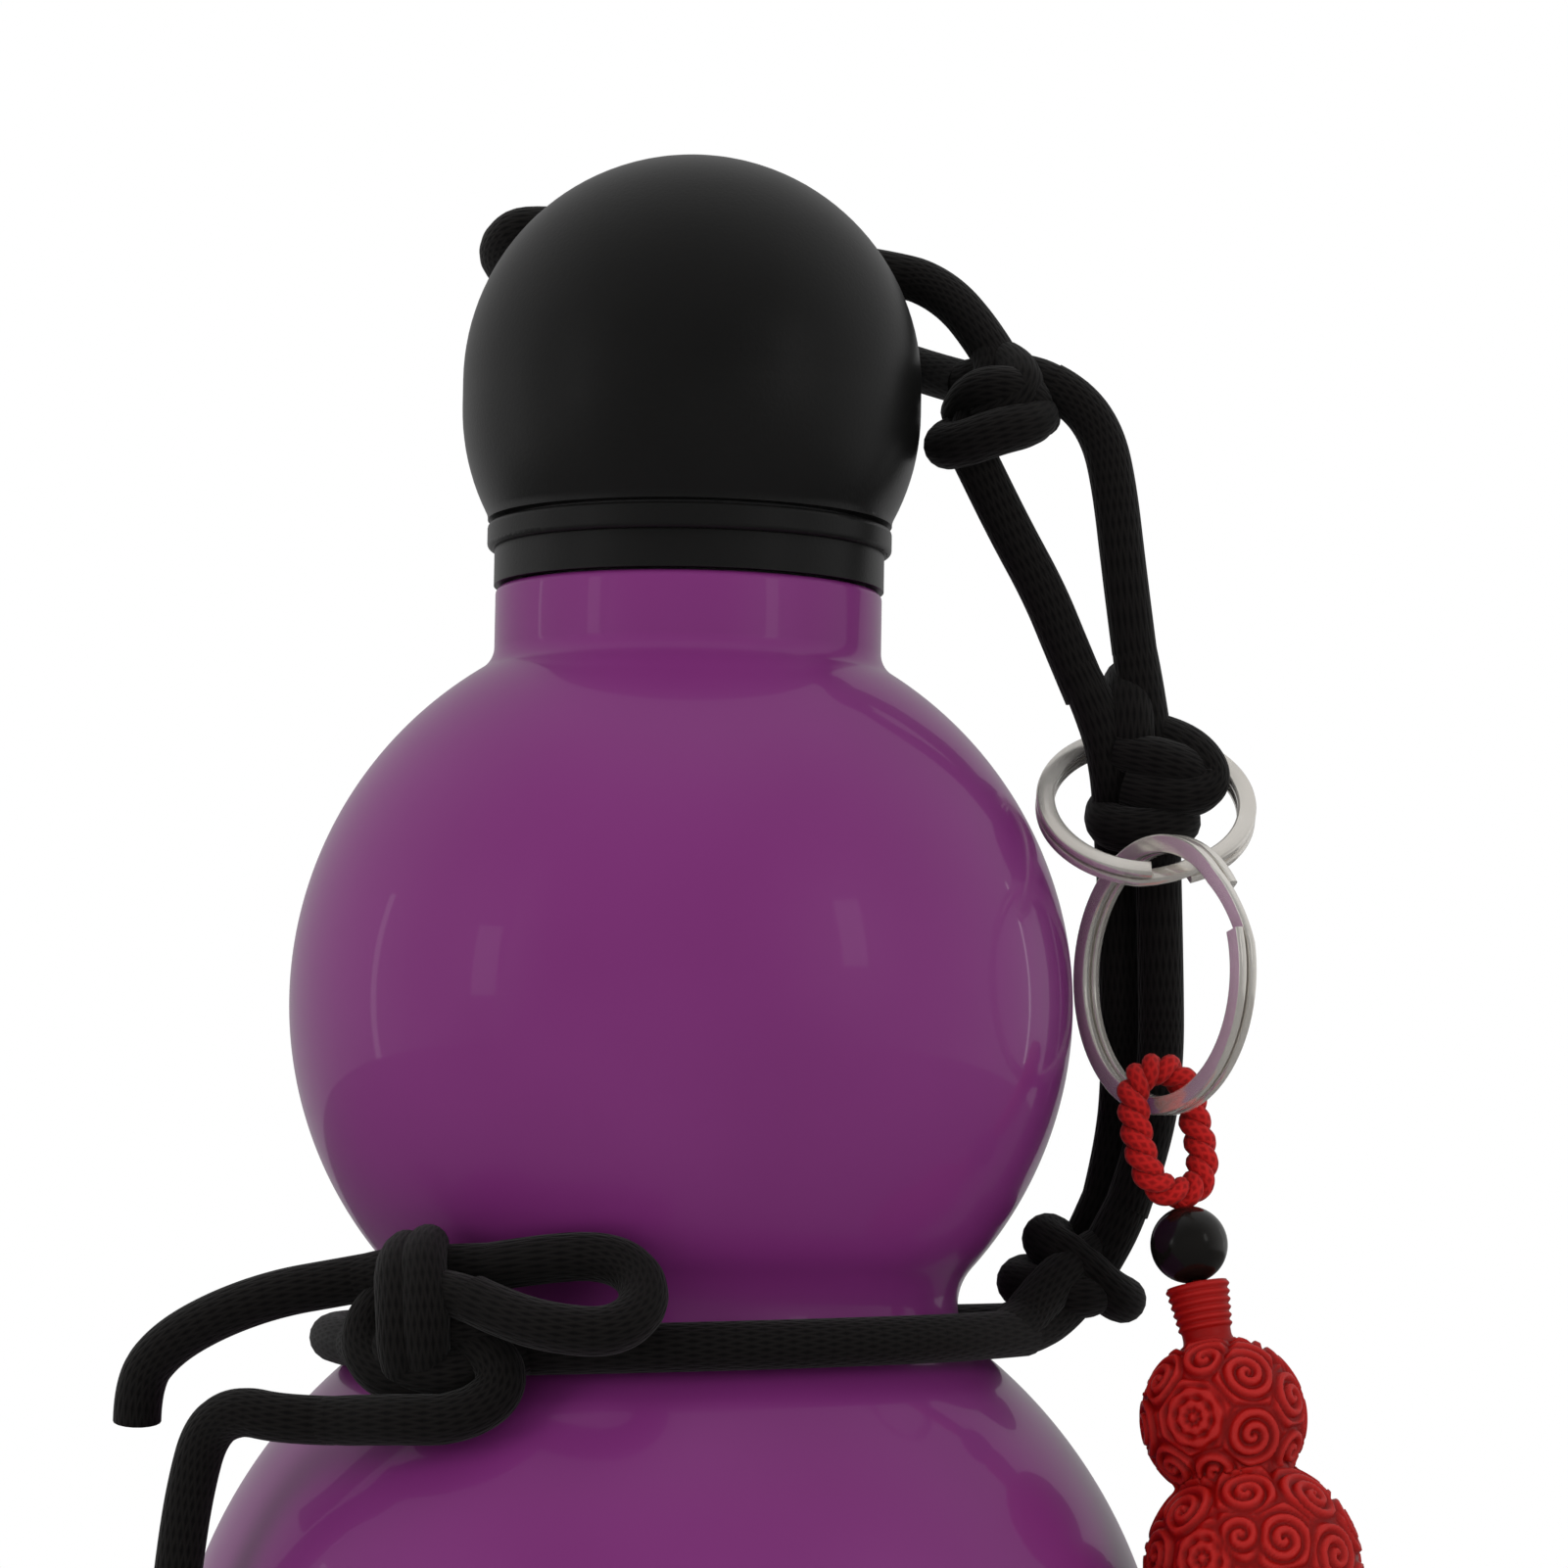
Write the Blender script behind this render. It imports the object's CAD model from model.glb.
import math

import bmesh
import bpy
from mathutils import Matrix, Vector


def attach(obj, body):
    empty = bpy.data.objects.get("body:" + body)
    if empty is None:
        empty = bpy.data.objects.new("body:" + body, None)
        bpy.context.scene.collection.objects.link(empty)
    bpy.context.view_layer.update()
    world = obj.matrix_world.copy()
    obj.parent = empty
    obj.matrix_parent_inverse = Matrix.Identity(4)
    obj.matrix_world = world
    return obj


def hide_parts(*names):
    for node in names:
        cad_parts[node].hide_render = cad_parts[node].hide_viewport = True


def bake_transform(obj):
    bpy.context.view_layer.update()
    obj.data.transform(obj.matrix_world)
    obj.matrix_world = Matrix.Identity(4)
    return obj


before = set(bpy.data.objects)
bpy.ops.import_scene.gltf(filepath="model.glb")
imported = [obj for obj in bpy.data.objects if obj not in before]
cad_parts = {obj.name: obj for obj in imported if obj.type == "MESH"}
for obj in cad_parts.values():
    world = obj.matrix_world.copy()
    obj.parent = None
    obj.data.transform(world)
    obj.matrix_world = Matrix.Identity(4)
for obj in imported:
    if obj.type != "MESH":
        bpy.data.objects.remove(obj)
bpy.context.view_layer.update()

mm = 0.001

# Camera, as the photo was taken: place in millimetres, turns in degrees
cameraView = {
    "place": (0.0, -530.0, 99.8),
    "rise": 4.59,      # up
    "turn": 1.16,      # to the right
    "roll": 0.905,     # the flask leans right in the picture
    "lens": 112.03,
    "sensor": 36.0,
    "clip": (0.01, 20),
}


def addCamera():
    rise, turn, roll = (math.radians(cameraView[k]) for k in ("rise", "turn", "roll"))
    forward = Vector((math.sin(turn) * math.cos(rise), math.cos(turn) * math.cos(rise), math.sin(rise)))
    right = forward.cross(Vector((0, 0, 1))).normalized()
    up = right.cross(forward)
    rolledUp = up * math.cos(roll) - right * math.sin(roll)
    rolledRight = right * math.cos(roll) + up * math.sin(roll)
    camera = bpy.data.objects.new("camera", bpy.data.cameras.new("camera"))
    camera.data.lens = cameraView["lens"]
    camera.data.sensor_width = cameraView["sensor"]
    camera.data.clip_start, camera.data.clip_end = cameraView["clip"]
    turned = Matrix((rolledRight, rolledUp, -forward)).transposed().to_4x4()
    camera.matrix_world = Matrix.Translation(Vector(cameraView["place"]) * mm) @ turned
    bpy.context.collection.objects.link(camera)
    bpy.context.scene.camera = camera


addCamera()
print("camera set")


# Node helpers for materials
def newMaterial(name):
    material = bpy.data.materials.new(name)
    material.use_nodes = True
    tree = material.node_tree
    return material, tree.nodes, tree.links, tree.nodes["Principled BSDF"]


def plainValues(node, values):
    for socket, value in values.items():
        node.inputs[socket].default_value = value


def mathNode(nodes, links, operation, first, second=None):
    node = nodes.new("ShaderNodeMath")
    node.operation = operation
    for index, value in enumerate((first, second)):
        if value is None:
            continue
        if isinstance(value, (int, float)):
            node.inputs[index].default_value = value
        else:
            links.new(value, node.inputs[index])
    return node.outputs[0]


def colourRamp(nodes, links, factor, stops):
    ramp = nodes.new("ShaderNodeValToRGB")
    elements = ramp.color_ramp.elements
    elements[0].position, elements[0].color = stops[0][0], (*stops[0][1], 1)
    elements[1].position, elements[1].color = stops[-1][0], (*stops[-1][1], 1)
    for position, colour in stops[1:-1]:
        elements.new(position).color = (*colour, 1)
    links.new(factor, ramp.inputs[0])
    return ramp.outputs[0]


def bumpInto(nodes, links, shader, height, strength, distance):
    bump = nodes.new("ShaderNodeBump")
    plainValues(bump, {"Strength": strength, "Distance": distance})
    links.new(height, bump.inputs["Height"])
    links.new(bump.outputs[0], shader.inputs["Normal"])


def placeGroup(nodes, group, values):
    node = nodes.new("ShaderNodeGroup")
    node.node_tree = group
    plainValues(node, values)
    return node


def noiseNode(nodes, links, detail):
    noise = nodes.new("ShaderNodeTexNoise")
    noise.inputs["Detail"].default_value = detail
    links.new(nodes.new("ShaderNodeTexCoord").outputs["Object"], noise.inputs["Vector"])
    return noise


# Node groups that several materials share; each material gives all the inputs
def openGroup(name, inputs, outputs):
    group = bpy.data.node_groups.new(name, "ShaderNodeTree")
    for way, sockets in (("INPUT", inputs), ("OUTPUT", outputs)):
        for socket in sockets:
            group.interface.new_socket(socket, in_out=way, socket_type="NodeSocketFloat")
    nodes = group.nodes
    return group, nodes, group.links, nodes.new("NodeGroupInput"), nodes.new("NodeGroupOutput")


noiseDetail = {"fine": 3, "broad": 2, "hair": 2}


def makeGrainGroup():
    inputs, outputs = ("Fine scale", "Broad scale", "Broad share"), ("Grain", "Cloud")
    group, nodes, links, source, out = openGroup("surfaceGrain", inputs, outputs)
    fine = noiseNode(nodes, links, noiseDetail["fine"])
    broad = noiseNode(nodes, links, noiseDetail["broad"])
    links.new(source.outputs["Fine scale"], fine.inputs["Scale"])
    links.new(source.outputs["Broad scale"], broad.inputs["Scale"])
    share = mathNode(nodes, links, "MULTIPLY", broad.outputs["Fac"], source.outputs["Broad share"])
    links.new(mathNode(nodes, links, "ADD", fine.outputs["Fac"], share), out.inputs["Grain"])
    links.new(broad.outputs["Fac"], out.inputs["Cloud"])
    return group


# The weave crosses two waves over the tube's own coordinates: X in millimetres along, Y from 0 to 1 around
def makeBraidGroup():
    inputs, outputs = ("Strands", "Pitch", "Fray", "Hair scale"), ("Height", "Thread")
    group, nodes, links, source, out = openGroup("braidWeave", inputs, outputs)
    uv = nodes.new("ShaderNodeSeparateXYZ")
    links.new(nodes.new("ShaderNodeTexCoord").outputs["UV"], uv.inputs[0])
    around = mathNode(nodes, links, "MULTIPLY", uv.outputs["Y"], source.outputs["Strands"])
    along = mathNode(nodes, links, "DIVIDE", uv.outputs["X"], source.outputs["Pitch"])
    waves = []
    for operation in ("ADD", "SUBTRACT"):
        phase = mathNode(nodes, links, operation, around, along)
        waves.append(mathNode(nodes, links, "SINE", mathNode(nodes, links, "MULTIPLY", phase, 2 * math.pi)))
    crossing = mathNode(nodes, links, "MAXIMUM", waves[0], waves[1])
    hair = noiseNode(nodes, links, noiseDetail["hair"])
    links.new(source.outputs["Hair scale"], hair.inputs["Scale"])
    fray = mathNode(nodes, links, "MULTIPLY", hair.outputs["Fac"], source.outputs["Fray"])
    links.new(mathNode(nodes, links, "ADD", crossing, fray), out.inputs["Height"])
    raised = mathNode(nodes, links, "ADD", crossing, 1.0)
    links.new(mathNode(nodes, links, "MULTIPLY", raised, 0.5), out.inputs["Thread"])
    return group


grainGroup = makeGrainGroup()
braidGroup = makeBraidGroup()


# Materials: "colours" are places on a ramp, and "bump" is a strength and a distance in metres
def surfaceInto(nodes, links, shader, look, tone, wear, height):
    links.new(colourRamp(nodes, links, tone, look["colours"]), shader.inputs["Base Color"])
    uneven = mathNode(nodes, links, "MULTIPLY", wear, look["unevenness"])
    links.new(mathNode(nodes, links, "ADD", uneven, look["roughness"]), shader.inputs["Roughness"])
    bumpInto(nodes, links, shader, height, *look["bump"])


def grainedSurface(name, look):
    material, nodes, links, shader = newMaterial(name)
    plainValues(shader, look["plain"])
    grain = placeGroup(nodes, grainGroup, look["grain"])
    cloud = grain.outputs["Cloud"]
    surfaceInto(nodes, links, shader, look, cloud, cloud, grain.outputs["Grain"])
    return material


def grainedPlastic(name, dark, pale, roughness, fineScale, strength, shine=0.5):
    return grainedSurface(name, {
        "plain": {"Specular IOR Level": shine},
        "grain": {"Fine scale": fineScale, "Broad scale": 40.0, "Broad share": 0.3},
        "colours": [(0.35, dark), (0.65, pale)],
        "unevenness": 0.1, "roughness": roughness, "bump": (strength, 0.00006),
    })


def brushedMetal(name, dark, pale, roughness, metal=1.0):
    return grainedSurface(name, {
        "plain": {"Metallic": metal},
        "grain": {"Fine scale": 700.0, "Broad scale": 60.0, "Broad share": 0.5},
        "colours": [(0.3, dark), (0.7, pale)],
        "unevenness": 0.12, "roughness": roughness, "bump": (0.08, 0.00003),
    })


def braidedCord(name, dark, pale, strands, pitch, roughness, depth):
    material, nodes, links, shader = newMaterial(name)
    plainValues(shader, {"Specular IOR Level": 0.12, "Sheen Weight": 0.04, "Sheen Roughness": 0.5})
    weave = {"Strands": strands, "Pitch": pitch, "Fray": 0.5, "Hair scale": 2600.0}
    braid = placeGroup(nodes, braidGroup, weave)
    look = {
        "colours": [(0.25, dark), (0.95, pale)],
        "unevenness": -0.15, "roughness": roughness, "bump": (0.5, depth),
    }
    thread = braid.outputs["Thread"]
    surfaceInto(nodes, links, shader, look, thread, thread, braid.outputs["Height"])
    return material


purpleLook = {
    "plain": {"Specular IOR Level": 0.15, "Coat Weight": 0.42, "Coat Roughness": 0.05, "Coat IOR": 1.42},
    "grain": {"Fine scale": 1400.0, "Broad scale": 22.0, "Broad share": 0.6},
    "colours": [(0.3, (0.1, 0.0124, 0.087)), (0.7, (0.115, 0.0157, 0.101))],
    "unevenness": 0.12, "roughness": 0.3, "bump": (0.06, 0.00004),
}
beadLook = {
    "plain": {"Specular IOR Level": 0.4},
    "grain": {"Fine scale": 900.0, "Broad scale": 120.0, "Broad share": 0.4},
    "colours": [(0.3, (0.002, 0.0018, 0.0016)), (0.75, (0.006, 0.005, 0.004))],
    "unevenness": 0.1, "roughness": 0.12, "bump": (0.05, 0.00003),
}
carvedLook = {
    "plain": {"Specular IOR Level": 0.12},
    "grain": {"Fine scale": 1600.0, "Broad scale": 140.0, "Broad share": 0.5},
    "colours": [(0.05, (0.125, 0.0008, 0.0005)), (0.6, (0.2, 0.003, 0.0022)), (1.0, (0.25, 0.0085, 0.007))],
    "mottle": 0.25, "unevenness": 0.15, "roughness": 0.32, "bump": (0.2, 0.00006),
}


# The carving's depth, kept on the mesh as "relief", picks the colour
def carvedRed():
    look = carvedLook
    material, nodes, links, shader = newMaterial("carvedRed")
    plainValues(shader, look["plain"])
    relief = nodes.new("ShaderNodeAttribute")
    relief.attribute_name = "relief"
    grain = placeGroup(nodes, grainGroup, look["grain"])
    centred = mathNode(nodes, links, "SUBTRACT", grain.outputs["Cloud"], 0.5)
    mottled = mathNode(nodes, links, "MULTIPLY", centred, look["mottle"])
    tone = mathNode(nodes, links, "ADD", relief.outputs["Fac"], mottled)
    surfaceInto(nodes, links, shader, look, tone, grain.outputs["Grain"], grain.outputs["Grain"])
    return material


finishes = {
    "purple": grainedSurface("purplePaint", purpleLook),
    "capBlack": grainedPlastic(
        "capBlack", (0.0028, 0.0028, 0.0027), (0.0042, 0.0041, 0.004),
        roughness=0.33, fineScale=2400.0, strength=0.3, shine=0.26,
    ),
    "cupBlack": grainedPlastic(
        "cupBlack", (0.02, 0.02, 0.021), (0.028, 0.028, 0.028),
        roughness=0.35, fineScale=1200.0, strength=0.15,
    ),
    "footRubber": grainedPlastic(
        "footRubber", (0.02, 0.02, 0.02), (0.032, 0.031, 0.03),
        roughness=0.7, fineScale=1800.0, strength=0.4,
    ),
    "foam": grainedPlastic(
        "foam", (0.62, 0.61, 0.57), (0.74, 0.73, 0.7), roughness=0.85, fineScale=900.0, strength=0.8,
    ),
    "silicone": grainedPlastic(
        "silicone", (0.6, 0.6, 0.6), (0.7, 0.7, 0.69), roughness=0.5, fineScale=700.0, strength=0.1,
    ),
    "steel": brushedMetal("steel", (0.42, 0.42, 0.43), (0.56, 0.56, 0.56), roughness=0.24),
    "solder": brushedMetal("solder", (0.3, 0.3, 0.31), (0.42, 0.42, 0.42), roughness=0.4),
    "ring": brushedMetal("ringSteel", (0.7, 0.66, 0.6), (0.86, 0.83, 0.78), roughness=0.1, metal=0.8),
    "cord": braidedCord(
        "blackCord", (0.0009, 0.0007, 0.0007), (0.0034, 0.0028, 0.0025),
        strands=22.0, pitch=3.4, roughness=0.9, depth=0.00006,
    ),
    "redThread": braidedCord(
        "redThread", (0.17, 0.0012, 0.001), (0.29, 0.004, 0.0032),
        strands=6.0, pitch=1.0, roughness=0.8, depth=0.00004,
    ),
    "bead": grainedSurface("blackBead", beadLook),
    "carved": carvedRed(),
}
print("materials made")


# Making and placing pieces
def newPiece(name, mesh, body, finish, nodes):
    piece = bpy.data.objects.new(name, mesh)
    bpy.context.collection.objects.link(piece)
    mesh.materials.append(finishes[finish])
    mesh.polygons.foreach_set("use_smooth", [True] * len(mesh.polygons))
    if body:
        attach(piece, body)
    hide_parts(*nodes)
    return piece


def meshFrom(shape, name):
    mesh = bpy.data.meshes.new(name)
    shape.to_mesh(mesh)
    shape.free()
    return mesh


# Splines through rows of points in millimetres
splineForm = {"order": 3, "steps": 10}


def splineObject(points, closed=False, endShare=1.0):
    curve = bpy.data.curves.new("line", "CURVE")
    curve.dimensions = "3D"
    spline = curve.splines.new("NURBS")
    spline.points.add(len(points) - 1)
    for place, point in zip(spline.points, points):
        place.co = (point[0] * mm, point[1] * mm, point[2] * mm, 1)
    spline.points[0].radius = spline.points[-1].radius = endShare
    spline.order_u = splineForm["order"]
    spline.use_endpoint_u = not closed
    spline.use_cyclic_u = closed
    spline.resolution_u = splineForm["steps"]
    line = bpy.data.objects.new("line", curve)
    bpy.context.collection.objects.link(line)
    return line


def splinePath(points, closed):
    line = splineObject(points, closed)
    mesh = bpy.data.meshes.new_from_object(line)
    path = [vertex.co.copy() for vertex in mesh.vertices]
    bpy.data.objects.remove(line)
    bpy.data.meshes.remove(mesh)
    return path


def pathLength(path):
    return sum((b - a).length for a, b in zip(path, path[1:]))


def tubeInto(shape, points, diameter, roundness, closed=False, endShare=1.0):
    line = splineObject(points, closed, endShare)
    line.data.bevel_depth = diameter / 2
    line.data.bevel_resolution = roundness
    line.data.use_fill_caps = True
    mesh = bpy.data.meshes.new_from_object(line)
    path = splinePath(points, closed)
    length = pathLength(path) / mm
    for corner in mesh.uv_layers[0].data:
        corner.uv = (corner.uv[0] * length, corner.uv[1])
    shape.from_mesh(mesh)
    bpy.data.objects.remove(line)
    bpy.data.meshes.remove(mesh)
    return path


# Cords: routes in millimetres, as the solids have them. In the scene strand_left at both ends and
# end_short at its start run a little way into their knots.
cordLook = {
    "diameter": 5.0, "roundness": 7, "knotShare": 1.03, "endShare": 0.84, "joinReach": 3.6, "joinGap": 0.1,
}

cordRoutes = {
    "cap_loop": [
        (33.8, 3.5, 189.8), (31.4, 5.4, 194.2), (27.6, 7.9, 198.6), (22.5, 9.7, 200.9),
        (-18.0, 8.5, 205.5), (-21.7, 11.7, 204.0), (-21.9, 16.9, 202.1), (-17.6, 21.5, 200.7),
        (-10.0, 24.7, 199.7), (-1.0, 26.2, 198.7), (8.0, 25.8, 197.1), (16.2, 22.9, 194.9),
        (23.2, 18.5, 192.1), (28.0, 12.8, 189.6), (30.6, 6.8, 187.9),
    ],
    "strand_left": [
        (30.4, 0.0, 179.9), (31.8, 0.0, 177.1), (35.1, 0.0, 170.6), (38.9, 0.0, 163.8), (41.6, 0.5, 157.5),
        (43.7, 0.2, 152.6),
    ],
    "strand_right": [
        (39.4, 1.0, 187.0), (42.2, 0.9, 185.6), (45.2, 0.5, 181.4), (46.5, 0.0, 175.4), (47.6, 0.0, 166.5),
        (48.9, 0.5, 157.5),
    ],
    "doubled_left": [
        (47.7, 3.6, 134.0), (48.1, 3.6, 122.0), (48.5, 3.8, 112.6), (48.0, 4.0, 104.0), (46.3, 3.8, 97.0),
    ],
    "doubled_right": [
        (51.7, 0.0, 134.0), (52.1, 0.0, 122.0), (52.2, -0.1, 112.6), (51.0, -0.6, 104.0),
        (48.4, -1.3, 96.6),
    ],
    "waist_front": [
        (37.1, -9.2, 83.6), (30.9, -20.1, 83.4), (21.6, -29.8, 83.2), (9.0, -35.9, 82.8),
        (-4.6, -37.4, 82.3), (-18.0, -33.9, 81.7),
    ],
    "waist_back": [
        (37.1, 9.2, 83.8), (30.8, 20.8, 83.2), (20.8, 30.8, 82.8), (7.1, 36.6, 82.6), (-7.8, 36.6, 82.4),
        (-21.5, 30.7, 82.2), (-31.8, 19.9, 82.0), (-37.1, 5.9, 81.9), (-36.6, -9.1, 81.8),
        (-32.8, -19.7, 81.7),
    ],
    "bow_loop": [
        (-19.5, -31.5, 90.0), (-13.0, -34.4, 91.2), (-6.8, -36.2, 91.5), (-3.4, -38.4, 89.4),
        (-3.2, -41.6, 86.2), (-6.4, -43.9, 84.0), (-11.8, -43.3, 84.3), (-16.6, -41.0, 85.4),
        (-20.4, -38.4, 87.0),
    ],
    "end_short": [
        (-31.5, -26.4, 88.8), (-34.5, -25.5, 88.2), (-41.3, -24.5, 86.9), (-47.8, -23.0, 84.4),
        (-52.8, -21.5, 81.3), (-55.6, -20.0, 77.6), (-55.7, -19.0, 73.4),
    ],
    "end_long": [
        (-34.2, -34.0, 74.5), (-39.5, -33.3, 74.5), (-44.2, -31.5, 75.4), (-47.6, -29.3, 73.2),
        (-49.2, -27.6, 67.0), (-50.2, -26.6, 60.0), (-50.9, -26.2, 52.0), (-51.0, -26.4, 44.0),
        (-50.3, -27.2, 36.0),
    ],
}


def addCords():
    diameter = cordLook["diameter"] * mm
    for node, route in cordRoutes.items():
        shape = bmesh.new()
        path = tubeInto(shape, route, diameter, cordLook["roundness"])
        body = "cap" if node == "cap_loop" else "flask"
        stretched = node.startswith("strand")
        mesh = meshFrom(shape, node)
        piece = newPiece(node + "Cord", mesh, None if stretched else body, "cord", [node])
        if stretched:
            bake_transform(piece)


addCords()
print("cords made")

# Knots: every strand of a knot as it lies, in millimetres
knotStrands = {
    "knot_cap": ("cap", [
        [(33.8, 3.5, 189.8), (32.6, 1.6, 185.4), (30.2, 0.2, 180.6), (31.8, 0.0, 177.1)],
        [(30.6, 6.8, 187.9), (33.2, 3.4, 188.4), (36.4, 1.2, 187.9), (39.4, 1.0, 187.0)],
        [
            (35.4, 5.0, 187.0), (38.2, 2.6, 184.6), (37.2, -2.4, 182.2), (33.2, -3.9, 180.9),
            (29.4, -2.6, 179.6), (27.6, 1.0, 179.9), (29.4, 4.4, 181.6), (33.4, 4.6, 183.4),
        ],
        [
            (29.6, 4.6, 184.2), (30.4, 0.0, 185.6), (34.0, -2.4, 186.2), (37.4, -0.6, 185.2),
            (38.6, 3.2, 183.2),
        ],
        [(34.6, 3.0, 190.0), (36.6, -1.0, 187.6), (34.8, -2.2, 183.8), (31.6, -0.6, 182.4)],
    ]),
    "knot_ring": ("flask", [
        [
            (41.6, 0.5, 157.5), (45.2, -0.9, 150.2), (46.6, -0.6, 144.5), (47.3, 2.4, 139.0),
            (47.7, 3.6, 134.0),
        ],
        [(48.9, 0.5, 157.5), (50.4, 0.4, 149.0), (51.5, 0.1, 141.0), (51.7, 0.0, 134.0)],
        [
            (49.6, 2.6, 149.4), (52.4, 0.4, 148.2), (55.6, -0.8, 146.4), (57.2, -0.6, 143.8),
            (55.4, -2.0, 141.8), (51.4, -3.0, 141.6), (47.8, -2.0, 142.6),
        ],
        [
            (47.0, -1.6, 146.4), (50.6, -3.0, 145.6), (54.4, -2.2, 144.6), (56.2, 1.4, 143.4),
            (54.0, 4.2, 141.6),
        ],
        [
            (46.2, 3.4, 140.6), (45.6, 0.0, 138.6), (48.4, -3.0, 137.6), (52.2, -2.6, 138.2),
            (54.4, 0.6, 139.0), (53.4, 4.0, 140.4),
        ],
    ]),
    "knot_waist": ("flask", [
        [(46.3, 3.8, 97.0), (43.2, 3.6, 90.5), (39.8, 6.4, 85.6), (37.1, 9.2, 83.8)],
        [(48.4, -1.3, 96.6), (44.8, -2.0, 90.0), (40.8, -5.2, 85.4), (37.1, -9.2, 83.6)],
        [
            (42.6, 5.4, 92.6), (40.4, 2.4, 94.0), (39.4, -2.0, 93.2), (42.6, -4.6, 91.2),
            (46.4, -3.6, 87.8), (49.2, 0.4, 86.6), (46.8, 4.4, 88.2),
        ],
        [
            (42.0, 5.0, 89.4), (38.2, 4.0, 89.4), (36.8, -1.0, 88.8), (37.6, -5.4, 88.2),
            (42.0, -6.4, 87.4), (46.0, -2.4, 88.0), (44.0, 3.4, 90.4),
        ],
        [
            (45.2, -1.8, 92.6), (41.4, -5.4, 90.0), (38.0, -8.6, 86.4), (36.0, -11.0, 84.0),
            (33.6, -15.0, 83.5),
        ],
    ]),
    "bow_knot": ("flask", [
        [(-31.5, -26.4, 88.8), (-27.5, -29.0, 89.6), (-19.5, -31.5, 90.0)],
        [
            (-25.4, -28.6, 92.2), (-26.0, -34.2, 91.4), (-25.2, -38.4, 86.6), (-25.0, -37.8, 81.4),
            (-24.8, -33.2, 78.6),
        ],
        [
            (-27.6, -28.4, 91.6), (-28.2, -34.0, 90.6), (-27.6, -37.4, 85.8), (-27.4, -36.6, 80.8),
            (-27.0, -32.2, 78.6),
        ],
        [
            (-34.2, -34.0, 74.5), (-28.0, -37.9, 74.9), (-21.6, -39.3, 75.0), (-17.0, -38.9, 77.9),
            (-18.2, -37.6, 82.0), (-24.0, -34.0, 84.0),
        ],
        [(-32.8, -19.7, 81.7), (-31.4, -24.6, 81.8), (-30.2, -30.0, 79.4), (-25.6, -34.2, 78.6)],
        [
            (-18.0, -33.9, 81.7), (-24.0, -32.0, 82.4), (-29.6, -28.6, 83.6), (-31.2, -26.0, 84.6),
            (-29.0, -25.6, 87.6),
        ],
        [(-20.4, -38.4, 87.0), (-25.2, -35.4, 88.0)],
        [
            (-28.0, -27.4, 88.4), (-31.4, -28.0, 85.2), (-31.6, -30.8, 80.6), (-27.0, -34.6, 78.0),
            (-20.6, -36.6, 79.4),
        ],
        [(-17.0, -37.2, 84.6), (-21.6, -36.8, 83.6), (-27.0, -33.0, 84.8), (-29.0, -28.8, 87.2)],
        [
            (-15.4, -35.6, 81.6), (-20.6, -37.0, 79.8), (-26.2, -35.8, 79.6), (-29.8, -31.0, 81.4),
            (-28.0, -27.6, 84.2),
        ],
    ]),
}

# The turn of the ring knot that holds the upper split ring: middle, axis, radius
ringTurn = ((48.5, 5.1065, 148.2768), (1, 0, 0), 4.4)


def turnPoints(middle, axis, radius, count=12):
    across = Vector(axis).normalized().orthogonal()
    other = Vector(axis).normalized().cross(across)
    reach = radius / math.cos(math.pi / count) ** 2
    spots = []
    for step in range(count):
        angle = 2 * math.pi * step / count
        spots.append(Vector(middle) + (across * math.cos(angle) + other * math.sin(angle)) * reach)
    return spots


# A strand that meets a cord's end runs on a little way inside that cord
def joinedStrand(points):
    points = [Vector(point) for point in points]
    for route in cordRoutes.values():
        for start, onward in ((route[0], route[1]), (route[-1], route[-2])):
            step = (Vector(onward) - Vector(start)).normalized() * cordLook["joinReach"]
            if (points[0] - Vector(start)).length < cordLook["joinGap"]:
                points.insert(0, points[0] + step)
            if (points[-1] - Vector(start)).length < cordLook["joinGap"]:
                points.append(points[-1] + step)
    return points


def addKnots():
    diameter = cordLook["diameter"] * cordLook["knotShare"] * mm
    roundness = cordLook["roundness"]
    for node, (body, strands) in knotStrands.items():
        shape = bmesh.new()
        for points in strands:
            tubeInto(shape, joinedStrand(points), diameter, roundness, endShare=cordLook["endShare"])
        if node == "knot_ring":
            tubeInto(shape, turnPoints(*ringTurn), diameter, roundness, closed=True)
        newPiece(node + "Tied", meshFrom(shape, node), body, "cord", [node])


addKnots()
print("knots made")


# Turned pieces: an outline in the XZ plane, spun about Z. Each move of an outline says where it ends,
# the middle of its arc (None for a straight line) and its steps.
mergeGap = 1e-7


def drawOutline(shape, start, moves):
    tip = shape.verts.new((start[0], 0, start[1]))
    for end, centre, steps in moves:
        if centre is None:
            here = tip.co.copy()
            for step in range(steps):
                tip = bmesh.ops.extrude_vert_indiv(shape, verts=[tip])["verts"][0]
                tip.co = here.lerp(Vector((end[0], 0, end[1])), (step + 1) / steps)
            continue
        before = math.atan2(tip.co.z - centre[1], tip.co.x - centre[0])
        after = math.atan2(end[1] - centre[1], end[0] - centre[0])
        sweep = (after - before + math.pi) % (2 * math.pi) - math.pi
        spun = bmesh.ops.spin(
            shape, geom=[tip], cent=(centre[0], 0, centre[1]), axis=(0, 1, 0), angle=-sweep, steps=steps,
        )
        tip = [part for part in spun["geom_last"] if isinstance(part, bmesh.types.BMVert)][0]


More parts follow.
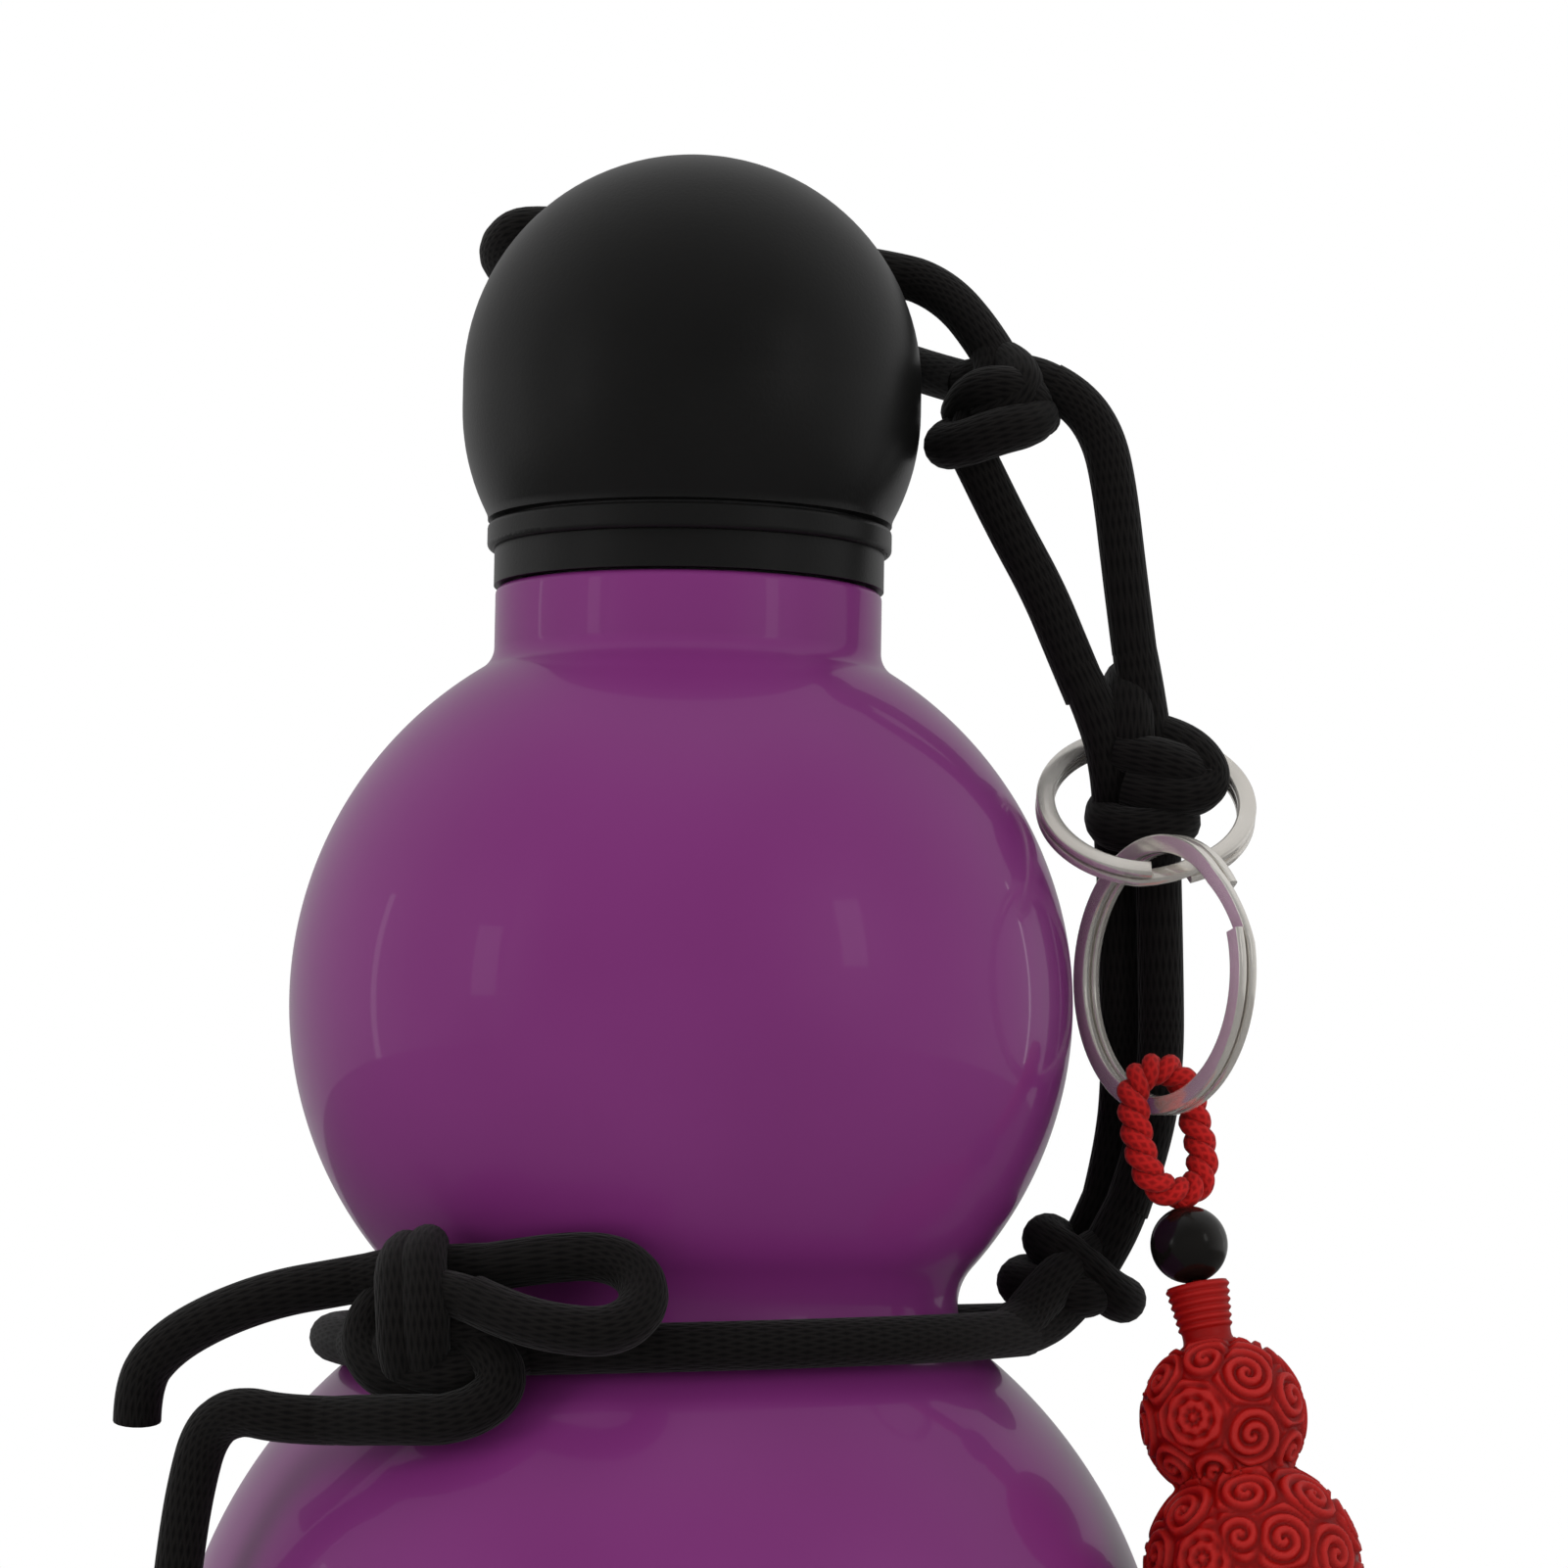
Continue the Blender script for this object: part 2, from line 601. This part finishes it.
def spinOutline(shape, steps):
    bmesh.ops.spin(
        shape, geom=shape.verts[:] + shape.edges[:], cent=(0, 0, 0), axis=(0, 0, 1), angle=2 * math.pi,
        steps=steps, use_merge=True,
    )
    bmesh.ops.remove_doubles(shape, verts=shape.verts[:], dist=mergeGap)
    bmesh.ops.recalc_face_normals(shape, faces=shape.faces[:])


# Where the arcs of a gourd's outline meet: two bulbs, the waist between them and the neck's foot
def gourdMarks(lowerRadius, lowerZ, upperRadius, upperZ, waistFillet, neckRadius, neckFillet):
    lowerArm, upperArm, spacing = lowerRadius + waistFillet, upperRadius + waistFillet, upperZ - lowerZ
    down = (spacing ** 2 + upperArm ** 2 - lowerArm ** 2) / (2 * spacing)
    waistCentre = (math.sqrt(upperArm ** 2 - down ** 2), upperZ - down)
    neckArm = neckRadius + neckFillet
    neckCentre = (neckArm, upperZ + math.sqrt((upperRadius + neckFillet) ** 2 - neckArm ** 2))

    def toward(centre, radius, target):
        step = Vector((target[0] - centre[0], target[1] - centre[1])).normalized() * radius
        return (centre[0] + step.x, centre[1] + step.y)

    return {
        "waistCentre": waistCentre,
        "waistStart": toward((0, lowerZ), lowerRadius, waistCentre),
        "waistEnd": toward((0, upperZ), upperRadius, waistCentre),
        "neckCentre": neckCentre,
        "neckStart": toward((0, upperZ), upperRadius, neckCentre),
        "neckEnd": (neckRadius, neckCentre[1]),
    }


flaskSizes = {
    "lowerRadius": 53.7, "lowerZ": 38.919, "upperRadius": 42.4, "upperZ": 118.219, "waistFillet": 6.0,
    "collarRadius": 21.1, "collarFillet": 3.0, "shoulder": 163.219, "edge": 0.8, "foot": 0.4, "wall": 0.7,
    "neckRadius": 17.0, "neckTop": 176.319, "around": 224,
}


def addFlaskShell():
    s = flaskSizes
    wall, neckInside, collarInside = s["wall"], s["neckRadius"] - s["wall"], s["collarRadius"] - s["wall"]
    outer = gourdMarks(
        s["lowerRadius"], s["lowerZ"], s["upperRadius"], s["upperZ"],
        s["waistFillet"], s["collarRadius"], s["collarFillet"],
    )
    inner = gourdMarks(
        s["lowerRadius"] - wall, s["lowerZ"], s["upperRadius"] - wall, s["upperZ"],
        s["waistFillet"] + wall, collarInside, s["collarFillet"] + wall,
    )
    footArm = s["lowerZ"] - s["foot"]
    footRadius = math.sqrt(s["lowerRadius"] ** 2 - footArm ** 2)
    footInside = math.sqrt((s["lowerRadius"] - wall) ** 2 - footArm ** 2)
    lowerCentre, upperCentre = (0, s["lowerZ"]), (0, s["upperZ"])
    edgeZ = s["shoulder"] - s["edge"]
    shape = bmesh.new()
    drawOutline(shape, (footInside, s["foot"]), [
        ((footRadius, s["foot"]), None, 1),
        (outer["waistStart"], lowerCentre, 90),
        (outer["waistEnd"], outer["waistCentre"], 16),
        (outer["neckStart"], upperCentre, 80),
        (outer["neckEnd"], outer["neckCentre"], 12),
        ((s["collarRadius"], edgeZ), None, 2),
        ((s["collarRadius"] - s["edge"], s["shoulder"]), (s["collarRadius"] - s["edge"], edgeZ), 6),
        ((s["neckRadius"], s["shoulder"]), None, 1),
        ((s["neckRadius"], s["neckTop"]), None, 2),
        ((neckInside, s["neckTop"]), None, 1),
        ((neckInside, s["shoulder"] - wall), None, 2),
        ((collarInside, s["shoulder"] - wall), None, 1),
        (inner["neckEnd"], None, 1),
        (inner["neckStart"], inner["neckCentre"], 10),
        (inner["waistEnd"], upperCentre, 50),
        (inner["waistStart"], inner["waistCentre"], 12),
        ((footInside, s["foot"]), lowerCentre, 60),
    ])
    bmesh.ops.scale(shape, vec=(mm, mm, mm), verts=shape.verts[:])
    spinOutline(shape, s["around"])
    newPiece(
        "flaskShell", meshFrom(shape, "flaskShell"), "flask", "purple",
        ["lower_shell", "upper_shell", "shell_collar"],
    )


addFlaskShell()
print("shell made")

# A frame in millimetres at a place: X and Z point the ways given, X made square to Z
def framed(place, xWay, zWay):
    zAxis = Vector(zWay).normalized()
    xAxis = (Vector(xWay) - zAxis * Vector(xWay).dot(zAxis)).normalized()
    turned = Matrix((xAxis, zAxis.cross(xAxis), zAxis)).transposed().to_4x4()
    return Matrix.Translation(Vector(place) * mm) @ turned @ Matrix.Scale(mm, 4)


# Split rings: a flat wire with rounded edges, two turns side by side and the step between them.
# Lengths are in millimetres and angles in degrees.
ringLook = {
    "width": 2.0, "height": 1.0, "corner": 0.3, "cornerSteps": 3, "pitch": 1.3, "turns": 1.94,
    "flatSteps": 90, "stepAngle": 34.0, "stepSteps": 12, "sharpAngle": 40,
}
rings = {
    "split_ring_upper": {
        "radius": 10.95, "start": 111.0, "body": "upper_ring", "place": (50.0, -2.5, 140.4),
        "xWay": (-1, 0, 0), "zWay": (0, -0.71934, 0.694658),
    },
    "split_ring_lower": {
        "radius": 14.0, "start": -18.0, "body": "lower_ring", "place": (51.3, -10.1065, 121.8414),
        "xWay": (0.515038, -0.857167, 0), "zWay": (0.857167, 0.515038, 0),
    },
}


def addRing(node, facts):
    look = ringLook
    corner, cornerSteps = look["corner"], look["cornerSteps"]
    halfWidth, halfHeight = look["width"] / 2 - corner, look["height"] / 2 - corner
    shape = bmesh.new()
    section = []
    for side, rise, first in ((1, 1, 0), (-1, 1, 90), (-1, -1, 180), (1, -1, 270)):
        for step in range(cornerSteps + 1):
            angle = math.radians(first + 90 / cornerSteps * step)
            across = facts["radius"] + side * halfWidth + corner * math.cos(angle)
            high = rise * halfHeight + corner * math.sin(angle) - look["pitch"] / 2
            section.append(shape.verts.new((across, 0, high)))
    edges = [shape.edges.new((one, two)) for one, two in zip(section, section[1:] + section[:1])]
    start = Matrix.Rotation(math.radians(facts["start"]), 4, "Z")
    bmesh.ops.transform(shape, matrix=start, verts=section)
    flat = ((360 * look["turns"] - look["stepAngle"]) / 2, 0.0, look["flatSteps"])
    moving = section + edges
    for angle, rise, steps in (flat, (look["stepAngle"], look["pitch"], look["stepSteps"]), flat):
        spun = bmesh.ops.spin(
            shape, geom=moving, cent=(0, 0, 0), axis=(0, 0, 1), dvec=(0, 0, rise / steps),
            angle=math.radians(angle), steps=steps,
        )
        moving = spun["geom_last"]
    bmesh.ops.holes_fill(shape, edges=[edge for edge in shape.edges if edge.is_boundary], sides=0)
    placed = framed(facts["place"], facts["xWay"], facts["zWay"])
    bmesh.ops.transform(shape, matrix=placed, verts=shape.verts[:])
    bmesh.ops.recalc_face_normals(shape, faces=shape.faces[:])
    piece = newPiece(node + "Wound", meshFrom(shape, node), facts["body"], "ring", [node])
    piece.data.set_sharp_from_angle(angle=math.radians(look["sharpAngle"]))


for ringNode, ringFacts in rings.items():
    addRing(ringNode, ringFacts)
print("rings made")

# Charm, in millimetres: the line it hangs on, its loop's plane, and its red cord's loop, string and end knot.
# The loop's corners are across and up from its middle, and each turn of the end knot is an axis and a radius.
charm = {
    "hang": (51.3, -10.1065, 107.8414), "down": (0.187, -0.15, -0.971), "across": (-0.515038, 0.857167, 0.0),
    "threads": 2, "threadRoundness": 4,
    "loopMiddle": 2.676, "loopStrand": 1.95, "loopOffset": 0.82, "loopLays": 8, "layPoints": 14,
    "loopCorners": [
        (0.4, 6.9), (-2.4, 6.5), (-4.0, 4.0), (-3.9, 0.2), (-4.2, -3.2), (-2.6, -6.6), (0.4, -7.0),
        (3.2, -5.6), (4.0, -2.2), (3.9, 1.6), (3.4, 5.2),
    ],
    "stringTop": 8.4, "stringPoints": 240, "stringStrand": 0.85, "stringOffset": 0.36, "stringLay": 2.4,
    "endKnot": 60.7, "endKnotStrand": 1.6, "endKnotRoundness": 5,
    "endKnotTurns": [
        ((0.2, 0.1, 1.0), 1.15), ((1.0, 0.2, 0.3), 1.1), ((0.3, 1.0, -0.4), 1.1), ((-0.6, 0.5, 0.7), 1.2),
    ],
}
charmDown = Vector(charm["down"]).normalized()


def charmPlace(distance):
    return Vector(charm["hang"]) + charmDown * distance


# Strands twisted about a line of points, as a bound cord or a string has them
def twistInto(shape, path, facing, strand, offset, lays, closed):
    total = pathLength(path + path[:1]) if closed else pathLength(path)
    for thread in range(charm["threads"]):
        spots = []
        walked = 0.0
        for index, point in enumerate(path):
            after = path[(index + 1) % len(path)] if closed or index + 1 < len(path) else point
            before = path[index - 1] if closed or index else point
            along = (after - before).normalized()
            side = facing.cross(along).normalized()
            angle = 2 * math.pi * (lays * walked / total + thread / charm["threads"])
            spots.append((point + (facing * math.cos(angle) + side * math.sin(angle)) * offset) / mm)
            walked += (after - point).length
        tubeInto(shape, spots, strand, charm["threadRoundness"], closed)


# Points in even steps along a closed path
def evenly(path, count):
    whole = path + path[:1]
    total = pathLength(whole)
    spots, walked, place = [], 0.0, 0
    for step in range(count):
        target = total * step / count
        while place < len(whole) - 2 and walked + (whole[place + 1] - whole[place]).length < target:
            walked += (whole[place + 1] - whole[place]).length
            place += 1
        run = whole[place + 1] - whole[place]
        share = min(1.0, (target - walked) / run.length) if run.length else 0.0
        spots.append(whole[place] + run * share)
    return spots


def addCharmCord():
    c = charm
    across = Vector(c["across"])
    facing = (across - charmDown * charmDown.dot(across)).normalized()
    side = (-charmDown).cross(facing)
    middle = charmPlace(c["loopMiddle"])
    spots = [middle + side * aside - charmDown * high for aside, high in c["loopCorners"]]
    path = evenly(splinePath(spots, True), c["loopLays"] * c["layPoints"])
    loop = bmesh.new()
    twistInto(loop, path, facing, c["loopStrand"] * mm, c["loopOffset"] * mm, c["loopLays"], True)
    top, bottom = charmPlace(c["stringTop"]), charmPlace(c["endKnot"])
    count, lays = c["stringPoints"], (bottom - top).length / c["stringLay"]
    line = [(top + (bottom - top) * step / count) * mm for step in range(count + 1)]
    string = bmesh.new()
    twistInto(string, line, facing, c["stringStrand"] * mm, c["stringOffset"] * mm, lays, False)
    knot = bmesh.new()
    for axis, radius in c["endKnotTurns"]:
        spots = turnPoints(bottom, axis, radius)
        tubeInto(knot, spots, c["endKnotStrand"] * mm, c["endKnotRoundness"], closed=True)
    for shape, name, ending, node in (
        (loop, "charmLoop", "Bound", "charm_loop"),
        (string, "charmString", "Twisted", "charm_string"),
        (knot, "charmEndKnot", "Tied", "charm_end_knot"),
    ):
        newPiece(name + ending, meshFrom(shape, name), "charm", "redThread", [node])


addCharmCord()
print("charm cord made")

# Carved gourd, in millimetres: a turned body with a ridged neck, and scrolls cut around each of its bulbs
gourd = {
    "lower": 11.2, "upper": 8.5, "spacing": 16.0, "waistFillet": 1.0, "foot": 10.976, "bore": 1.1,
    "neck": 2.6, "neckFillet": 1.0, "neckFoot": 25.293, "neckTop": 30.293, "mouth": 3.2,
    "ridges": 6, "ridgeSteps": 8, "ridgeDepth": 0.26, "center": (60.5866, -17.5556, 59.6207), "around": 230,
    "relief": 0.62, "line": 1.35, "lineGain": 1.45, "borderGain": 2.6,
    "rosetteRings": 0.35, "rosettePetals": 0.15, "petals": 8,
    "carvedFrom": 1.6, "footFade": 2.0, "neckFade": 1.5,
    "plainTone": 0.55, "neckTone": 0.45, "ridgeTone": 1.2,
}
# Scroll: degrees right of the front, degrees above the bulb's middle, reach in mm, winding (0 is a rosette)
upperScrolls = [
    (20, 25, 2.9, 1), (14, -20, 2.5, -1), (-27, 0, 3.0, 0), (57, 4, 2.5, -1), (60, -34, 2.0, 1),
    (92, 26, 2.5, 1), (96, -12, 2.6, -1), (132, 6, 2.8, 1), (166, -20, 2.6, -1), (168, 22, 2.5, 1),
    (-156, 2, 2.6, 0), (-124, 25, 2.6, -1), (-122, -16, 2.8, 1), (-86, 4, 2.7, -1), (-62, 34, 2.2, 1),
    (-64, -32, 2.2, -1), (-22, -42, 2.0, 1), (-12, 44, 2.0, -1),
]
lowerScrolls = [
    (-9, 16, 2.4, 1), (14, 10, 3.0, -1), (49, 33, 2.8, 1), (-32, 8, 3.2, 0), (0, 42, 2.4, -1),
    (-48, 38, 2.6, 1), (46, -2, 3.2, 1), (16, -24, 3.1, 1), (-22, -26, 3.1, -1), (-62, -14, 3.2, 1),
    (-70, 16, 2.8, -1), (80, 16, 3.1, -1), (76, -24, 3.1, 1), (104, 44, 2.6, 1), (112, 0, 3.2, -1),
    (142, 26, 3.1, 1), (140, -24, 3.1, -1), (172, 2, 3.2, 0), (-162, 34, 2.9, -1), (-156, -20, 3.1, 1),
    (-130, 8, 3.1, -1), (-110, 40, 2.7, 1), (-104, -20, 3.2, -1), (-96, 8, 3.0, 1), (40, -52, 2.8, -1),
    (-40, -54, 2.8, 1), (120, -54, 2.8, 1), (-120, -54, 2.8, -1), (180, -54, 2.8, 1),
]


def scrollRelief(x, y, z, radius, scrolls):
    turn = math.atan2(x, -y)
    height = math.asin(max(-1.0, min(1.0, z / radius)))
    nearest, second, found = math.inf, math.inf, None
    for angle, rise, reach, winding in scrolls:
        gap = (turn - math.radians(angle) + math.pi) % (2 * math.pi) - math.pi
        across = radius * math.cos(height) * gap
        up = radius * (height - math.radians(rise))
        away = math.hypot(across, up)
        if away / reach < nearest:
            nearest, second, found = away / reach, nearest, (away, math.atan2(up, across), winding)
        elif away / reach < second:
            second = away / reach
    away, way, winding = found
    rings = 2 * math.pi * away / gourd["line"]
    if winding:
        line = 0.5 + 0.5 * math.cos(rings - winding * way)
    else:
        petals = gourd["rosettePetals"] * math.cos(gourd["petals"] * way)
        line = 0.5 + gourd["rosetteRings"] * math.cos(rings) + petals
    border = min(1.0, (second - nearest) * gourd["borderGain"])
    return min(1.0, gourd["lineGain"] * line) * border


def addGourd():
    g = gourd
    marks = gourdMarks(
        g["lower"], 0.0, g["upper"], g["spacing"], g["waistFillet"], g["neck"], g["neckFillet"],
    )
    footOut = math.sqrt(g["lower"] ** 2 - g["foot"] ** 2)
    flare, neckLength = g["mouth"] - g["neck"], g["neckTop"] - g["neckFoot"]
    neck = []
    neckSteps = g["ridges"] * g["ridgeSteps"]
    for step in range(1, neckSteps + 1):
        share = step / neckSteps
        ridge = g["ridgeDepth"] * (0.5 - 0.5 * math.cos(2 * math.pi * share * g["ridges"]))
        neck.append(((g["neck"] + flare * share + ridge, g["neckFoot"] + neckLength * share), None, 1))
    shape = bmesh.new()
    drawOutline(shape, (g["bore"], -g["foot"]), [
        ((footOut, -g["foot"]), None, 2),
        (marks["waistStart"], (0, 0), 110),
        (marks["waistEnd"], marks["waistCentre"], 6),
        (marks["neckStart"], (0, g["spacing"]), 84),
        (marks["neckEnd"], marks["neckCentre"], 5),
        ((g["neck"], g["neckFoot"]), None, 2),
    ] + neck + [
        ((g["bore"], g["neckTop"]), None, 3),
        ((g["bore"], -g["foot"]), None, 12),
    ])
    bmesh.ops.scale(shape, vec=(mm, mm, mm), verts=shape.verts[:])
    spinOutline(shape, g["around"])
    layer = shape.verts.layers.float.new("relief")
    for vertex in shape.verts:
        x, y, z = vertex.co / mm
        wide = math.hypot(x, y)
        if z > g["neckFoot"]:
            ridge = wide - g["neck"] - flare * (z - g["neckFoot"]) / neckLength
            vertex[layer] = g["neckTone"] + g["ridgeTone"] * ridge
            continue
        if wide < g["carvedFrom"]:
            vertex[layer] = g["plainTone"]
            continue
        upper = z > marks["waistCentre"][1]
        radius, middle, scrolls = (
            (g["upper"], g["spacing"], upperScrolls) if upper else (g["lower"], 0.0, lowerScrolls)
        )
        neckShare = max(0.0, (g["neckFoot"] - z) / g["neckFade"])
        fade = min(1.0, (wide - g["carvedFrom"]) / g["footFade"], neckShare)
        cut = scrollRelief(x, y, z - middle, radius, scrolls)
        outward = Vector((x, y, z - middle)).normalized()
        vertex.co += outward * ((cut - 0.5) * g["relief"] * fade * mm)
        vertex[layer] = cut * fade + 0.5 * (1 - fade)
    back = Vector((0, 1, 0))
    upWay = -charmDown
    right = (back - upWay * back.dot(upWay)).cross(upWay)
    bmesh.ops.scale(shape, vec=(1 / mm, 1 / mm, 1 / mm), verts=shape.verts[:])
    bmesh.ops.transform(shape, matrix=framed(g["center"], right, upWay), verts=shape.verts[:])
    newPiece("gourdCarved", meshFrom(shape, "gourd"), "pendant", "carved", ["carved_gourd"])


addGourd()
print("gourd made")

# Nodes that keep their solid's shape
keptNodes = {
    "base_plate": "steel", "vacuum_plug": "solder", "getter_pan": "steel", "foot_pad": "footRubber",
    "lower_liner": "steel", "upper_liner": "steel", "throat_tube": "steel", "liner_base": "steel",
    "neck_ring": "steel", "mouth_seal": "silicone", "cap_shell": "capBlack", "cap_band": "capBlack",
    "cord_sleeve": "capBlack", "cap_cup": "cupBlack", "cap_foam": "foam", "stopper_foam": "foam",
    "stopper_cover": "steel", "charm_bead": "bead",
}
for node, finish in keptNodes.items():
    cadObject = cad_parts[node]
    for place in cadObject.material_slots:
        place.material = finishes[finish]
print("cad nodes finished")


# Light, floor and background, in metres
studio = {
    "softTarget": (0, 0, 0.12),
    "softLights": {
        "leftSoft": {"place": (-0.80, -0.50, 0.34), "size": (0.45, 0.6), "watts": 4.3},
        "rightSoft": {"place": (0.66, -0.62, 0.34), "size": (0.45, 0.6), "watts": 3.4},
        "topSoft": {"place": (0.0, -0.1, 0.95), "size": (0.6, 0.6), "watts": 2.6},
    },
    "glintTarget": (0, 0, 0.15),
    "glints": {
        "leftGlint": {"place": (-0.608, -0.395, 0.23), "size": (0.10, 0.22), "watts": 0.06},
        "rightGlint": {"place": (0.541, -0.457, 0.34), "size": (0.10, 0.22), "watts": 0.06},
        "leftStrip": {"place": (-0.69, 0.09, 0.16), "size": (0.03, 0.42), "watts": 0.05},
        "rightStrip": {"place": (0.62, 0.34, 0.20), "size": (0.012, 0.34), "watts": 0.03},
    },
    "worldLevel": 1.0,
    "frontShine": 0.13,
    "backShine": 0.5,
    "shineFrom": 0.15,
    "shineTo": 0.55,
    "floorRadius": 0.62,
    "floorSides": 96,
    "floorHeight": -0.0002,
    "floorPaint": {"Base Color": (0.86, 0.86, 0.86, 1), "Roughness": 0.9, "Specular IOR Level": 0.1},
    "floorShine": 0.12,
    "whiteFrom": 0.22,
    "whiteTo": 0.5,
}


def addAreaLight(name, facts, target, shiny):
    lamp = bpy.data.lights.new(name, "AREA")
    lamp.shape = "RECTANGLE"
    lamp.size, lamp.size_y = facts["size"]
    lamp.energy = facts["watts"]
    light = bpy.data.objects.new(name, lamp)
    light.location = facts["place"]
    light.visible_glossy = shiny
    light.rotation_euler = (Vector(target) - Vector(facts["place"])).to_track_quat("-Z", "Y").to_euler()
    bpy.context.collection.objects.link(light)


def whiteNode(nodes, kind, strength=1.0):
    node = nodes.new(kind)
    plainValues(node, {"Color": (1, 1, 1, 1), "Strength": strength})
    return node


def mixShaders(nodes, links, factor, first, second):
    mix = nodes.new("ShaderNodeMixShader")
    for index, output in enumerate((factor, first, second)):
        links.new(output, mix.inputs[index])
    return mix.outputs[0]


# Level light on everything, a dimmer room in reflections, white behind the object
def addWorld():
    world = bpy.data.worlds.new("studio")
    bpy.context.scene.world = world
    world.use_nodes = True
    nodes, links = world.node_tree.nodes, world.node_tree.links
    nodes.clear()
    path = nodes.new("ShaderNodeLightPath")
    direction = nodes.new("ShaderNodeSeparateXYZ")
    links.new(nodes.new("ShaderNodeTexCoord").outputs["Generated"], direction.inputs[0])
    side = mathNode(nodes, links, "MULTIPLY", mathNode(nodes, links, "ADD", direction.outputs["Y"], 1.0), 0.5)
    seen = nodes.new("ShaderNodeMapRange")
    plainValues(seen, {
        "From Min": studio["shineFrom"], "From Max": studio["shineTo"],
        "To Min": studio["frontShine"], "To Max": studio["backShine"],
    })
    links.new(side, seen.inputs["Value"])
    plain = whiteNode(nodes, "ShaderNodeBackground", studio["worldLevel"])
    mirrored = whiteNode(nodes, "ShaderNodeBackground")
    links.new(seen.outputs[0], mirrored.inputs["Strength"])
    white = whiteNode(nodes, "ShaderNodeBackground")
    glossy, through = path.outputs["Is Glossy Ray"], path.outputs["Is Transmission Ray"]
    shiny = mathNode(nodes, links, "MAXIMUM", glossy, through)
    lit = mixShaders(nodes, links, shiny, plain.outputs[0], mirrored.outputs[0])
    surface = mixShaders(nodes, links, path.outputs["Is Camera Ray"], lit, white.outputs[0])
    links.new(surface, nodes.new("ShaderNodeOutputWorld").inputs[0])


# A pale floor that fades to white away from the object, and that reflections see dimmer
def addFloor():
    shape = bmesh.new()
    bmesh.ops.create_circle(shape, cap_ends=True, segments=studio["floorSides"], radius=studio["floorRadius"])
    mesh = meshFrom(shape, "floor")
    floor = bpy.data.objects.new("floor", mesh)
    floor.location = (0, 0, studio["floorHeight"])
    bpy.context.collection.objects.link(floor)
    material, nodes, links, shader = newMaterial("paleFloor")
    plainValues(shader, studio["floorPaint"])
    distance = nodes.new("ShaderNodeVectorMath")
    distance.operation = "LENGTH"
    links.new(nodes.new("ShaderNodeTexCoord").outputs["Object"], distance.inputs[0])
    edge = nodes.new("ShaderNodeMapRange")
    edge.interpolation_type = "SMOOTHSTEP"
    plainValues(edge, {"From Min": studio["whiteFrom"], "From Max": studio["whiteTo"]})
    links.new(distance.outputs["Value"], edge.inputs["Value"])
    path = nodes.new("ShaderNodeLightPath")
    seen = mathNode(nodes, links, "MULTIPLY", edge.outputs[0], path.outputs["Is Camera Ray"])
    glow = whiteNode(nodes, "ShaderNodeEmission")
    mirrored = whiteNode(nodes, "ShaderNodeEmission", studio["floorShine"])
    faded = mixShaders(nodes, links, seen, shader.outputs[0], glow.outputs[0])
    surface = mixShaders(nodes, links, path.outputs["Is Glossy Ray"], faded, mirrored.outputs[0])
    links.new(surface, nodes["Material Output"].inputs["Surface"])
    mesh.materials.append(material)


addWorld()
addFloor()
for lampName, lampFacts in studio["softLights"].items():
    addAreaLight(lampName, lampFacts, studio["softTarget"], False)
for lampName, lampFacts in studio["glints"].items():
    addAreaLight(lampName, lampFacts, studio["glintTarget"], True)
bpy.context.scene.view_settings.view_transform = "Standard"
print("studio made")
